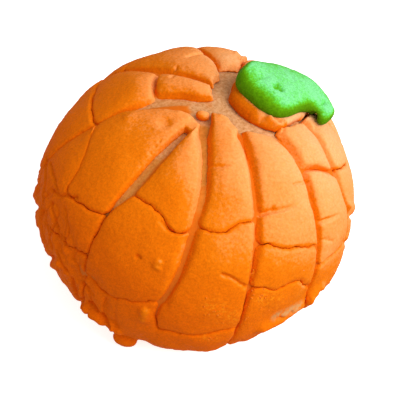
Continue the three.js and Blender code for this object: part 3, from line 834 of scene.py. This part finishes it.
class Finish:
    """A material under construction, with short ways to add and join its nodes."""

    def __init__(self, name, roughness, specular):
        self.material = bpy.data.materials.new(name)
        self.material.use_nodes = True
        self.tree = self.material.node_tree
        self.surface = self.tree.nodes["Principled BSDF"]
        self.surface.inputs["Roughness"].default_value = roughness
        self.surface.inputs["Specular IOR Level"].default_value = specular
        self.place = self.tree.nodes.new("ShaderNodeTexCoord").outputs["Object"]

    def join(self, value, socket):
        """Links a socket to a node's output, or sets it to a constant."""
        if isinstance(value, bpy.types.NodeSocket):
            self.tree.links.new(value, socket)
        else:
            socket.default_value = value

    def grain(self, size, layers=PLAIN):
        """Noise from 0 to 1 with bumps of that size, layered by a detail and a roughness."""
        detail, roughness = layers
        node = self.tree.nodes.new("ShaderNodeTexNoise")
        node.inputs["Scale"].default_value = 1 / size
        node.inputs["Detail"].default_value = detail
        node.inputs["Roughness"].default_value = roughness
        self.join(self.place, node.inputs["Vector"])
        return node.outputs["Fac"]

    def value(self, name):
        """A number that the mesh stores for each vertex."""
        node = self.tree.nodes.new("ShaderNodeAttribute")
        node.attribute_name = name
        return node.outputs["Fac"]

    def stretch(self, value, span, limits=(0, 1)):
        """A value carried smoothly from a span of it to between two limits."""
        node = self.tree.nodes.new("ShaderNodeMapRange")
        node.interpolation_type = "SMOOTHSTEP"
        self.join(value, node.inputs["Value"])
        for name, number in zip(("From Min", "From Max", "To Min", "To Max"), (*span, *limits)):
            node.inputs[name].default_value = number
        return node.outputs["Result"]

    def combine(self, operation, first, second):
        """Two values combined by an operation of arithmetic."""
        node = self.tree.nodes.new("ShaderNodeMath")
        node.operation = operation
        self.join(first, node.inputs[0])
        self.join(second, node.inputs[1])
        return node.outputs["Value"]

    def mix(self, share, first, second, blend="MIX"):
        """Two colours blended by that share."""
        node = self.tree.nodes.new("ShaderNodeMix")
        node.data_type = "RGBA"
        node.blend_type = blend
        self.join(share, node.inputs["Factor"])
        self.join(first, node.inputs["A"])
        self.join(second, node.inputs["B"])
        return node.outputs["Result"]

    def between(self, share, colours):
        """A colour that lies between two screen colours."""
        first, second = colours
        return self.mix(share, linear(first), linear(second))

    def ramp(self, value, stops):
        """A colour that runs through stops, each a place from 0 to 1 and a linear colour."""
        node = self.tree.nodes.new("ShaderNodeValToRGB")
        elements = node.color_ramp.elements
        while len(elements) < len(stops):
            elements.new(1.0)
        for element, (place, colour) in zip(elements, stops):
            element.position = place
            element.color = (*colour, 1)
        self.join(value, node.inputs["Fac"])
        return node.outputs["Color"]

    def finish(self, colour, height, depth):
        """Sets the colour, and a bump of that depth from a height of 0 to 1."""
        bump = self.tree.nodes.new("ShaderNodeBump")
        bump.inputs["Distance"].default_value = depth
        self.join(height, bump.inputs["Height"])
        self.join(bump.outputs["Normal"], self.surface.inputs["Normal"])
        self.join(colour, self.surface.inputs["Base Color"])
        return self.material


def paste_finish():
    """Matt orange sugar paste, sandy and worn in places, with light, sheen and shade painted into its colour.
    """
    paste = Finish("orange_paste", *PASTE_SURFACE)
    toasting = paste.stretch(paste.grain(TOASTING_SIZE, FINE), GRAIN_SPAN, TOASTING_RANGE)
    # The pale value paints light and sheen on the side facing the lamp, and shade at crack edges
    colour = paste.ramp(paste.combine("ADD", paste.value("pale"), toasting), PASTE_COLOURS)
    shade = paste.stretch(paste.grain(PASTE_SHADE_SIZE, FINE), GRAIN_SPAN, PASTE_SHADE_RANGE)
    # Painted shade darkens the colour along the shade lines
    shade = paste.combine("SUBTRACT", shade, paste.value("painted_shade"))
    colour = paste.mix(1.0, colour, shade, "MULTIPLY")
    sand = paste.stretch(paste.grain(SAND_SIZE, SAND_LAYERS), SAND_SPAN, SAND_RANGE)
    sand = paste.combine("MULTIPLY", sand, paste.value("sandy"))
    colour = paste.mix(sand, colour, linear(SAND_COLOUR))
    worn = paste.between(paste.grain(WORN_SIZE, FINE), WORN_COLOURS)
    patchy = paste.stretch(paste.grain(PATCH_SIZE, FINE), PATCH_SPAN)
    colour = paste.mix(paste.combine("MULTIPLY", patchy, paste.value("worn")), colour, worn)
    return paste.finish(colour, paste.grain(PASTE_BUMP_SIZE, FINE), PASTE_BUMP_DEPTH)


def dough_finish():
    """Tan crumb where bare, orange in the cracks and browned below the rim."""
    dough = Finish("dough", *DOUGH_SURFACE)
    patches = dough.stretch(dough.grain(DOUGH_PATCH_SIZE, FINER), GRAIN_SPAN)
    crumb = dough.between(patches, CRUMB_COLOURS)
    specks = dough.stretch(dough.grain(SPECK_SIZE, FINE), SPECK_SPAN, SPECK_RANGE)
    crumb = dough.mix(specks, crumb, linear(SPECK_COLOUR))
    tan = dough.between(patches, STAINED_COLOURS)
    crumb = dough.mix(dough.value("stained"), crumb, tan)
    hidden = dough.between(dough.grain(HIDDEN_SIZE), HIDDEN_COLOURS)
    crust = dough.between(dough.grain(CRUST_SIZE, CRUST_LAYERS), CRUST_COLOURS)
    colour = dough.mix(dough.value("bare"), hidden, crumb)
    colour = dough.mix(dough.value("crust"), colour, crust)
    return dough.finish(colour, dough.grain(DOUGH_BUMP_SIZE, FINER), DOUGH_BUMP_DEPTH)


def leaf_finish():
    """Matt green sugar paste, speckled, with light and shade painted on by its light value."""
    leaf = Finish("green_paste", *LEAF_SURFACE)
    speckle = leaf.stretch(leaf.grain(SPECKLE_SIZE, FINE), GRAIN_SPAN, SPECKLE_RANGE)
    cloud = leaf.stretch(leaf.grain(CLOUD_SIZE), CLOUD_SPAN, CLOUD_RANGE)
    light = leaf.combine("ADD", leaf.value("light"), leaf.combine("ADD", speckle, cloud))
    colour = leaf.ramp(light, LEAF_COLOURS)
    shade = leaf.stretch(leaf.grain(LEAF_SHADE_SIZE, FINE), GRAIN_SPAN, LEAF_SHADE_RANGE)
    colour = leaf.mix(1.0, colour, shade, "MULTIPLY")
    return leaf.finish(colour, leaf.grain(LEAF_BUMP_SIZE, FINE), LEAF_BUMP_DEPTH)


def make_camera():
    """The camera that takes the picture."""
    place, right, up, forward = camera_axes()
    camera = bpy.data.objects.new("camera", bpy.data.cameras.new("camera"))
    camera.data.lens = CAMERA_LENS
    camera.data.sensor_width = CAMERA_SENSOR
    camera.matrix_world = Matrix.Translation(place) @ Matrix((right, up, -forward)).transposed().to_4x4()
    scene.collection.objects.link(camera)
    scene.camera = camera


def make_light():
    """A broad key light, white surroundings, and colours shown as they are."""
    towards = Vector((
        math.cos(KEY_ELEVATION) * math.sin(KEY_AZIMUTH),
        -math.cos(KEY_ELEVATION) * math.cos(KEY_AZIMUTH),
        math.sin(KEY_ELEVATION),
    ))
    lamp = bpy.data.lights.new("key", "AREA")
    lamp.energy = KEY_POWER
    lamp.size = KEY_SIZE
    key = bpy.data.objects.new("key", lamp)
    key.location = KEY_DISTANCE * towards
    key.rotation_euler = towards.to_track_quat("Z", "Y").to_euler()
    scene.collection.objects.link(key)
    world = bpy.data.worlds.new("studio")
    world.use_nodes = True
    world.node_tree.nodes["Background"].inputs["Strength"].default_value = WORLD_STRENGTH
    world.node_tree.nodes["Background"].inputs["Color"].default_value = (1, 1, 1, 1)
    world.cycles_visibility.glossy = False
    scene.world = world
    scene.view_settings.view_transform = "Standard"


def make_floor():
    """A pale floor, for the picture alone."""
    mesh = bpy.data.meshes.new("floor")
    half = FLOOR_SIDE / 2
    corners = [(-half, -half, 0), (half, -half, 0), (half, half, 0), (-half, half, 0)]
    mesh.from_pydata(corners, [], [(0, 1, 2, 3)])
    floor = bpy.data.objects.new("floor", mesh)
    scene.collection.objects.link(floor)
    floor.visible_diffuse = False
    pale = Finish("floor", *FLOOR_SURFACE)
    colour = pale.between(pale.grain(FLOOR_GRAIN_SIZE), FLOOR_COLOURS)
    pale.surface.inputs["Emission Color"].default_value = (1, 1, 1, 1)
    pale.surface.inputs["Emission Strength"].default_value = FLOOR_GLOW
    mesh.materials.append(pale.finish(colour, pale.grain(FLOOR_BUMP_SIZE), FLOOR_BUMP_DEPTH))


def dress(piece, material):
    """Gives a piece its material and slot, and lets it ride on the body."""
    piece.data.materials.clear()
    piece.data.materials.append(material)
    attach(piece, BODY)


make_camera()
make_light()
make_floor()

whole = search_tree(solids.values())
bun = search_tree([solids["dough"]])
paste_nodes = sorted(name for name in solids if name.startswith(PASTE_NODES))
orange = paste_finish()
plates = []
for name in paste_nodes:
    plates.append(make_plate(name, [solids[other] for other in paste_nodes if other != name], whole, bun))
    dress(plates[-1], orange)
crumbs = make_crumbs(plates)
set_values(crumbs.data, "pale", np.full(len(crumbs.data.vertices), CRUMB_PALENESS))
dress(crumbs, orange)
dress(make_dough(whole), dough_finish())
dress(make_leaf(whole), leaf_finish())
